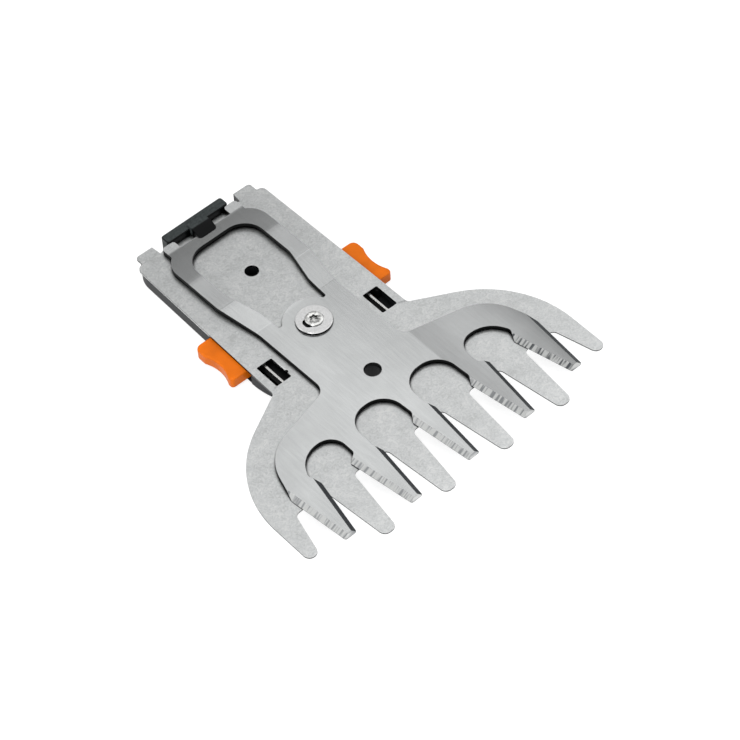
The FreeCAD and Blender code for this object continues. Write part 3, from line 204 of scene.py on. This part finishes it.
# Belt-ground steel of the swinging comb: satin faces with painted shade and painted reflection
# along the wings and over the ring's joggles, a faint grain along the shank, bevels with short
# grinding marks across the left flanks, right flanks painted plain dark as a dark reflection,
# punched edges painted black as shade, an underside painted dark as shade, and painted shade
# close beside other pieces. The joggles are eased. The belt's grit of about 0.1 mm wouldn't show,
# so its grain is drawn 0.7 mm wide.
def ground_steel():
    made, tree, place = blank("belt_ground_steel")
    spot = add(tree, "SeparateXYZ", inputs={"Vector": (place, "Object")})
    facing = add(tree, "SeparateXYZ", inputs={"Vector": (place, "Normal")})
    drawn = add(tree, "Mapping", inputs={"Vector": (place, "Object"), "Scale": (1.0, 0.06, 1.0)})
    grain = add(tree, "TexNoise", inputs={
        "Vector": (drawn, "Vector"), "Scale": per_mm(0.7), "Detail": 2.0, "Roughness": 0.5})
    cloud = add(tree, "TexNoise", inputs={
        "Vector": (place, "Object"), "Scale": per_mm(14.0), "Detail": 2.0})
    blend = add(tree, "Mix", {"data_type": "FLOAT"}, {
        "Factor_Float": 0.6, "A_Float": (grain, "Fac"), "B_Float": (cloud, "Fac")})
    satin = add(tree, "ValToRGB", inputs={"Fac": (blend, "Result_Float")}, stops=[
        (0.35, linear("dcdede")), (0.65, linear("e9ebeb"))])
    # Painted shade and painted reflection: lighter and darker over the wings and the ring's
    # joggles
    lean = painted_shade_tones(tree, (spot, "X"), BOW)
    rear = painted_shade_tones(tree, (spot, "Y"), RING)
    on_ring = add(tree, "MapRange", inputs={
        "Value": (spot, "Y"), "From Min": (JOGGLE_END - 1.0) * MM,
        "From Max": (JOGGLE_END + 1.0) * MM})
    bowed = add(tree, "Mix", {"data_type": "RGBA"}, {
        "Factor_Float": (on_ring, "Result"), "A_Color": (lean, "Color"), "B_Color": grey(1.0)})
    shade = add(tree, "Mix", {"data_type": "RGBA", "blend_type": "MULTIPLY"}, {
        "Factor_Float": 1.0, "A_Color": (bowed, "Result_Color"), "B_Color": (rear, "Color")})
    face = add(tree, "Mix", {"data_type": "RGBA", "blend_type": "MULTIPLY"}, {
        "Factor_Float": 1.0, "A_Color": (satin, "Color"), "B_Color": (shade, "Result_Color")})
    # The wheel's marks run straight across a flank, and are painted darker toward the right-hand
    # teeth as shade. They are about 0.3 mm wide and drawn 0.8 mm wide, so that they show
    across = add(tree, "Mapping", inputs={"Vector": (place, "Object"), "Scale": (0.1, 1.0, 0.1)})
    strokes = add(tree, "TexNoise", inputs={
        "Vector": (across, "Vector"), "Scale": per_mm(0.8), "Detail": 1.0, "Roughness": 0.5})
    light_cut = add(tree, "ValToRGB", inputs={"Fac": (strokes, "Fac")}, stops=[
        (0.36, linear("9c9ea0")), (0.54, linear("d4d5d4"))])
    shaded_cut = add(tree, "ValToRGB", inputs={"Fac": (strokes, "Fac")}, stops=[
        (0.40, linear("5a5d60")), (0.56, linear("c8c9c8"))])
    toward_right = add(tree, "MapRange", inputs={
        "Value": (spot, "X"), "From Min": 15.0 * MM, "From Max": 40.0 * MM})
    left_flank = add(tree, "Mix", {"data_type": "RGBA"}, {
        "Factor_Float": (toward_right, "Result"), "A_Color": (light_cut, "Color"),
        "B_Color": (shaded_cut, "Color")})
    # Right flanks are painted plain dark as the dark reflection they show
    right_side = add(tree, "MapRange", inputs={
        "Value": (facing, "X"), "From Min": 0.05, "From Max": 0.2})
    flank = add(tree, "Mix", {"data_type": "RGBA"}, {
        "Factor_Float": (right_side, "Result"), "A_Color": (left_flank, "Result_Color"),
        "B_Color": linear("4c4f52")})
    # Which way the surface faces tells the level land from a flank, a wall and the underside
    steep = add(tree, "Math", {"operation": "ABSOLUTE"}, {"Value": (facing, "Z")})
    land = add(tree, "MapRange", inputs={
        "Value": (steep, "Value"), "From Min": 0.95, "From Max": 0.98})
    dressed = add(tree, "Mix", {"data_type": "RGBA"}, {
        "Factor_Float": (land, "Result"), "A_Color": (flank, "Result_Color"),
        "B_Color": (face, "Result_Color")})
    # Walls are painted black as shade
    top = add(tree, "MapRange", inputs={
        "Value": (facing, "Z"), "From Min": 0.2, "From Max": 0.3})
    cut = add(tree, "Mix", {"data_type": "RGBA"}, {
        "Factor_Float": (top, "Result"), "A_Color": linear(SHADE_BLACK),
        "B_Color": (dressed, "Result_Color")})
    # The underside is painted dark as shade under the raised ring
    under = add(tree, "MapRange", inputs={
        "Value": (facing, "Z"), "From Min": -0.6, "From Max": -0.5})
    plain = add(tree, "Mix", {"data_type": "RGBA"}, {
        "Factor_Float": (under, "Result"), "A_Color": linear("4d5052"),
        "B_Color": (cut, "Result_Color")})
    # Painted shade: darker close beside other pieces
    crevice_shaded = crevice_shade(tree, (plain, "Result_Color"), 0.8)
    shine = add(tree, "MapRange", inputs={
        "Value": (land, "Result"), "From Min": 0.0, "From Max": 1.0, "To Min": 0.45,
        "To Max": 0.24})
    # A gentle fall in height over the front joggle softens its crease
    easing = add(tree, "MapRange", inputs={
        "Value": (spot, "Y"), "From Min": JOGGLE_START * MM, "From Max": JOGGLE_END * MM,
        "To Min": 0.0, "To Max": -0.52 * MM})
    eased = add(tree, "Bump", inputs={"Distance": 1.0, "Height": (easing, "Result")})
    bump = add(tree, "Bump", inputs={
        "Strength": 0.1, "Distance": 0.01 * MM, "Height": (blend, "Result_Float"),
        "Normal": (eased, "Normal")})
    surface(tree, {
        "Base Color": (crevice_shaded, "Result_Color"), "Metallic": 0.9,
        "Roughness": (shine, "Result"), "Normal": (bump, "Normal")})
    return made


# Moulded plastics and the pivot bush: a fine grain, as of a spark-eroded mould, under a soft
# sheen, in an even colour that varies by a tenth, with painted shade in the piece's own holes and
# recesses. The real grain of about 0.05 mm wouldn't show, so it's drawn 0.3 to 0.4 mm across.
def fine_grained(name, code, roughness, grain_mm, depth_mm, sheen):
    made, tree, place = blank(name)
    grain = add(tree, "TexNoise", inputs={
        "Vector": (place, "Object"), "Scale": per_mm(grain_mm), "Detail": 2.0})
    cloud = add(tree, "TexNoise", inputs={
        "Vector": (place, "Object"), "Scale": per_mm(6.0), "Detail": 2.0})
    colour = add(tree, "ValToRGB", inputs={"Fac": (cloud, "Fac")}, stops=[
        (0.3, scaled(linear(code), 0.9)), (0.7, scaled(linear(code), 1.1))])
    # Painted shade: darker inside the piece's own holes and recesses
    crevice_shaded = crevice_shade(tree, (colour, "Color"), 5.0, 0.1, 0.4, own=True)
    bump = add(tree, "Bump", inputs={
        "Strength": 0.4, "Distance": depth_mm * MM, "Height": (grain, "Fac")})
    surface(tree, {
        "Base Color": (crevice_shaded, "Result_Color"), "Roughness": roughness,
        "Specular IOR Level": sheen, "Normal": (bump, "Normal")})
    return made


# Black acetal of the guide shoe, with scuffs of 0.8 mm: the top faces and the faces to the left
# are painted a lighter matt anthracite where light falls, and the walls and the stem's front are
# glossy and painted a deeper black as shade.
def lit_and_shaded_acetal():
    made, tree, place = blank("acetal_black_lit_and_shaded")
    spot = add(tree, "SeparateXYZ", inputs={"Vector": (place, "Object")})
    facing = add(tree, "SeparateXYZ", inputs={"Vector": (place, "Normal")})
    scuff = add(tree, "TexNoise", inputs={
        "Vector": (place, "Object"), "Scale": per_mm(0.8), "Detail": 3.0})
    matt = add(tree, "ValToRGB", inputs={"Fac": (scuff, "Fac")}, stops=[
        (0.3, linear("2b2f30")), (0.7, linear("404545"))])
    # Painted light: faces up and to the left are lighter, and the rest is painted darker as shade
    leftward = add(tree, "Math", {"operation": "MULTIPLY"}, {
        "Value": (facing, "X"), "Value_001": -1.0})
    toward_light = add(tree, "Math", {"operation": "MAXIMUM"}, {
        "Value": (facing, "Z"), "Value_001": (leftward, "Value")})
    top = add(tree, "MapRange", inputs={
        "Value": (toward_light, "Value"), "From Min": 0.75, "From Max": 0.9})
    rear = add(tree, "MapRange", inputs={
        "Value": (spot, "Y"), "From Min": (STEM_REAR - 0.3) * MM,
        "From Max": (STEM_REAR + 0.3) * MM})
    lit_face = add(tree, "Math", {"operation": "MULTIPLY"}, {
        "Value": (top, "Result"), "Value_001": (rear, "Result")})
    colour = add(tree, "Mix", {"data_type": "RGBA"}, {
        "Factor_Float": (lit_face, "Value"), "A_Color": linear("030405"),
        "B_Color": (matt, "Color")})
    shine = add(tree, "MapRange", inputs={
        "Value": (lit_face, "Value"), "From Min": 0.0, "From Max": 1.0, "To Min": 0.15,
        "To Max": 0.42})
    bump = add(tree, "Bump", inputs={
        "Strength": 0.3, "Distance": 0.02 * MM, "Height": (scuff, "Fac")})
    surface(tree, {
        "Base Color": (colour, "Result_Color"), "Roughness": (shine, "Result"),
        "Specular IOR Level": 0.12, "Normal": (bump, "Normal")})
    return made


# Bright zinc plate on turned and stamped steel, and drawn spring steel: nearly white, with
# punched or pressed walls painted dark as shade where a wall code is given. The plate's
# orange-peel of about 0.2 mm is drawn 0.6 mm across, so that it shows.
def bright_steel(name, code, roughness, wall=None):
    made, tree, place = blank(name)
    peel = add(tree, "TexNoise", inputs={
        "Vector": (place, "Object"), "Scale": per_mm(0.6), "Detail": 2.0})
    colour = add(tree, "ValToRGB", inputs={"Fac": (peel, "Fac")}, stops=[
        (0.3, scaled(linear(code), 0.88)), (0.7, linear(code))])
    skin = (colour, "Color")
    # Walls are painted dark as shade
    if wall:
        facing = add(tree, "SeparateXYZ", inputs={"Vector": (place, "Normal")})
        steep = add(tree, "Math", {"operation": "ABSOLUTE"}, {"Value": (facing, "Z")})
        flat = add(tree, "MapRange", inputs={
            "Value": (steep, "Value"), "From Min": 0.4, "From Max": 0.6})
        walled = add(tree, "Mix", {"data_type": "RGBA"}, {
            "Factor_Float": (flat, "Result"), "A_Color": linear(wall), "B_Color": skin})
        skin = (walled, "Result_Color")
    bump = add(tree, "Bump", inputs={
        "Strength": 0.2, "Distance": 0.01 * MM, "Height": (peel, "Fac")})
    surface(tree, {
        "Base Color": skin, "Metallic": 1.0, "Roughness": roughness,
        "Normal": (bump, "Normal")})
    return made


STEEL_PLATE = tumbled_steel()
STEEL_BLADE = ground_steel()
SHOE = lit_and_shaded_acetal()
# Glass-filled nylon: the fibres make the moulded skin matt, a dark grey with no gloss
TRAY = fine_grained("glass_filled_nylon_grey", "181a1c", roughness=0.5, grain_mm=0.35,
                    depth_mm=0.03, sheen=0.25)
# Acetal: moulded black with a waxy low sheen
BLACK = fine_grained("acetal_black", "0b0c0d", roughness=0.42, grain_mm=0.3,
                     depth_mm=0.02, sheen=0.2)
# ABS: moulded in a full signal orange, satin where thumbs press
ORANGE = fine_grained("moulded_abs_orange", "dc6c0f", roughness=0.38, grain_mm=0.35,
                      depth_mm=0.015, sheen=0.15)
# Pivot bush steel: painted near black as the shade on the floor of the washer's notch, with a
# slight sheen
BUSH_SHADE_BLACK = fine_grained("bush_steel_painted_black_shade", "1a1b1c", roughness=0.45, grain_mm=0.4,
                          depth_mm=0.01, sheen=0.5)
# Bright zinc plated steel: small hardware, nearly white and glossy all over
ZINC = bright_steel("bright_zinc_plated_steel", "f0f0ee", roughness=0.2)
# The same plate on a pressed screw head, whose recess and rim walls are painted dark as shade
HEAD = bright_steel("pressed_zinc_plated_steel", "fafaf8", roughness=0.22, wall="3a3b3b")
# The same plate on a punched washer, whose walls are painted black as shade
WASHER = bright_steel("punched_zinc_plated_steel", "ffffff", roughness=0.25, wall="0a0a0a")
# Drawn spring steel: cold drawn wire and strip, clean and bright
SPRING = bright_steel("drawn_spring_steel", "f2f2f0", roughness=0.25)


def dress(name, material):
    """Gives a carried-over node its finish."""
    mesh = NODES[name].data
    mesh.materials.clear()
    mesh.materials.append(material)


# Points this close are one, facets within this angle are one face, and creases up to this angle
# are drawn smooth
WELD_MM = 0.002
FACE_ANGLE = 0.5
SMOOTH_ANGLE = 32.0


def rounded_copy(name, width_mm, steps, chosen, angle):
    """Takes a node's shape into a new piece and rounds its chosen sharp edges."""
    piece = bpy.data.objects.new(name + "_finished", NODES[name].data.copy())
    bpy.context.scene.collection.objects.link(piece)
    bpy.ops.object.select_all(action="DESELECT")
    piece.select_set(True)
    bpy.context.view_layer.objects.active = piece
    bpy.ops.object.mode_set(mode="EDIT")
    bpy.ops.mesh.select_all(action="SELECT")
    bpy.ops.mesh.remove_doubles(threshold=WELD_MM * MM)
    bpy.ops.mesh.dissolve_limited(angle_limit=math.radians(FACE_ANGLE))
    bpy.ops.mesh.select_all(action="DESELECT")
    bpy.ops.mesh.select_mode(type="EDGE")
    bpy.ops.mesh.edges_select_sharp(sharpness=math.radians(angle))
    bpy.ops.object.mode_set(mode="OBJECT")
    mesh = piece.data
    for edge in mesh.edges:
        ends = [mesh.vertices[i].co for i in edge.vertices]
        if edge.select and not chosen((ends[0] + ends[1]) / 2 / MM):
            edge.select = False
    bpy.ops.object.mode_set(mode="EDIT")
    bpy.ops.mesh.bevel(offset=width_mm * MM, segments=steps, affect="EDGES", clamp_overlap=True)
    bpy.ops.mesh.select_all(action="SELECT")
    bpy.ops.mesh.quads_convert_to_tris()
    bpy.ops.object.mode_set(mode="OBJECT")
    bpy.ops.object.shade_smooth_by_angle(angle=math.radians(SMOOTH_ANGLE))
    level = piece.modifiers.new("level", "WEIGHTED_NORMAL")
    level.keep_sharp = True
    bpy.ops.object.modifier_apply(modifier=level.name)
    return piece


def finish(name, material, width_mm, steps, chosen=lambda middle: True, angle=50.0):
    """Rounds and finishes a copy of a node, which it replaces in the picture."""
    piece = rounded_copy(name, width_mm, steps, chosen, angle)
    piece.data.materials.clear()
    piece.data.materials.append(material)
    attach(piece, BODY_OF[name])
    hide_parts(name)


def on_top(middle):
    """Edges on the comb plate's upper face, without those of the deep lock hole."""
    return middle.z > PLATE_TOP - 0.02 and (middle.xy - LOCK_HOLE).length > LOCK_HOLE_REACH


def shown(middle):
    """Edges above the plate's upper face."""
    return middle.z > PLATE_TOP + 0.2


finish("lower_blade", STEEL_PLATE, width_mm=0.12, steps=2, chosen=on_top)
dress("upper_blade", STEEL_BLADE)
dress("base_tray", TRAY)
finish("guide_shoe", SHOE, width_mm=0.25, steps=3, chosen=shown, angle=30.0)
finish("pivot_screw", HEAD, width_mm=0.1, steps=2, chosen=shown, angle=40.0)
dress("pivot_washer", WASHER)
dress("pivot_bush", BUSH_SHADE_BLACK)
dress("pivot_lock_nut", ZINC)
for name in NODES:
    if name.startswith(("tray_screw", "weld_nut")):
        dress(name, ZINC)
dress("pivot_spring_washer", SPRING)
for side in ("left_", "right_"):
    finish(side + "button", ORANGE, width_mm=0.5, steps=4, angle=35.0)
    dress(side + "latch_slide", BLACK)
    dress(side + "latch_bar", SPRING)
    dress(side + "button_spring", SPRING)

# Floor: a pale matt table that holds the soft shadow and is clear when seen from below
FLOOR_RADIUS = 0.6
FLOOR_HEIGHT = -0.0001
bpy.ops.mesh.primitive_circle_add(vertices=96, radius=FLOOR_RADIUS, fill_type="NGON",
                                  location=(0, 0, FLOOR_HEIGHT))
floor = bpy.context.object
floor.name = "floor"
floor_material = bpy.data.materials.new("matt_white_table")
tree = cleared(floor_material)
matt = add(tree, "BsdfDiffuse", inputs={"Color": grey(0.45)})
path = add(tree, "LightPath")
seen = add(tree, "Math", {"operation": "MAXIMUM"}, {
    "Value": (path, "Is Camera Ray"), "Value_001": (path, "Is Glossy Ray")})
lift = add(tree, "Math", {"operation": "MULTIPLY"}, {
    "Value": (seen, "Value"), "Value_001": 0.75})
glow = add(tree, "Emission", inputs={"Strength": (lift, "Value")})
both = add(tree, "AddShader", inputs={
    "Shader": (matt, "BSDF"), "Shader_001": (glow, "Emission")})
clear = add(tree, "BsdfTransparent")
below = add(tree, "NewGeometry")
table = add(tree, "MixShader", inputs={
    "Fac": (below, "Backfacing"), "Shader": (both, "Shader"), "Shader_001": (clear, "BSDF")})
add(tree, "OutputMaterial", inputs={"Surface": (table, "Shader")})
floor.data.materials.append(floor_material)

# Studio: a pale tent with a soft dark flag across it, so that level steel looks pale and steel
# that leans to the rear looks darker. TENT gives its light over how far a direction agrees with
# TENT_TOP, from 0 for square to it to 1 for along it.
TENT_TOP = (0.287, -0.537, 0.793)
TENT = ((0.0, 0.64), (0.14, 0.50), (0.26, 0.12), (0.33, 0.12), (0.51, 1.2), (0.64, 0.98),
        (1.0, 0.92))
world = bpy.data.worlds.new("studio")
bpy.context.scene.world = world
tree = cleared(world)
way = add(tree, "TexCoord")
height = add(tree, "VectorMath", {"operation": "DOT_PRODUCT"}, {
    "Vector": (way, "Generated"), "Vector_001": TENT_TOP})
sky = add(tree, "ValToRGB", inputs={"Fac": (height, "Value")}, stops=[
    (at, grey(level)) for at, level in TENT])
path = add(tree, "LightPath")
back = add(tree, "Mix", {"data_type": "RGBA"}, {
    "Factor_Float": (path, "Is Camera Ray"), "A_Color": (sky, "Color"), "B_Color": grey(1.0)})
light = add(tree, "Background", inputs={"Color": (back, "Result_Color"), "Strength": 1.0})
add(tree, "OutputWorld", inputs={"Surface": (light, "Background")})


def softbox(name, where, size, power):
    """A square lamp that faces the cutting head."""
    data = bpy.data.lights.new(name, "AREA")
    data.shape = "SQUARE"
    data.size = size
    data.energy = power
    lamp = bpy.data.objects.new(name, data)
    bpy.context.scene.collection.objects.link(lamp)
    lamp.location = where
    lamp.rotation_euler = (-Vector(where)).to_track_quat("-Z", "Y").to_euler()
    return lamp


# The overhead lamp lights the plastics only, as steel that mirrored it would burn out from above
softbox("overhead", (-0.15, 0.1, 0.9), 0.7, 2.4).visible_glossy = False
softbox("rear_left", (-0.56, 0.48, 0.5), 0.45, 0.45)
softbox("left_fill", (-0.75, -0.45, 0.3), 0.5, 3.5)

# Camera at the photograph's viewing angle
AZIMUTH = math.radians(-37.71)
ELEVATION = math.radians(50.15)
ROLL = math.radians(-4.29)
AIM = Vector((0.52, -26.42, 6.0)) * MM
DISTANCE = 961.9 * MM
FOCAL_PIXELS = 3055.4
IMAGE_WIDTH = 740.0
SENSOR_WIDTH = 36.0
away = Vector((math.sin(AZIMUTH) * math.cos(ELEVATION),
               -math.cos(AZIMUTH) * math.cos(ELEVATION), math.sin(ELEVATION)))
right = Vector((math.cos(AZIMUTH), math.sin(AZIMUTH), 0.0))
up = away.cross(right)
tilted_right = right * math.cos(ROLL) + up * math.sin(ROLL)
tilted_up = up * math.cos(ROLL) - right * math.sin(ROLL)
camera_data = bpy.data.cameras.new("camera")
camera_data.sensor_width = SENSOR_WIDTH
camera_data.lens = FOCAL_PIXELS * SENSOR_WIDTH / IMAGE_WIDTH
camera = bpy.data.objects.new("camera", camera_data)
bpy.context.scene.collection.objects.link(camera)
stand = AIM + away * DISTANCE
camera.matrix_world = Matrix((
    (tilted_right.x, tilted_up.x, away.x, stand.x),
    (tilted_right.y, tilted_up.y, away.y, stand.y),
    (tilted_right.z, tilted_up.z, away.z, stand.z),
    (0, 0, 0, 1)))
bpy.context.scene.camera = camera

bpy.context.scene.view_settings.view_transform = "Standard"
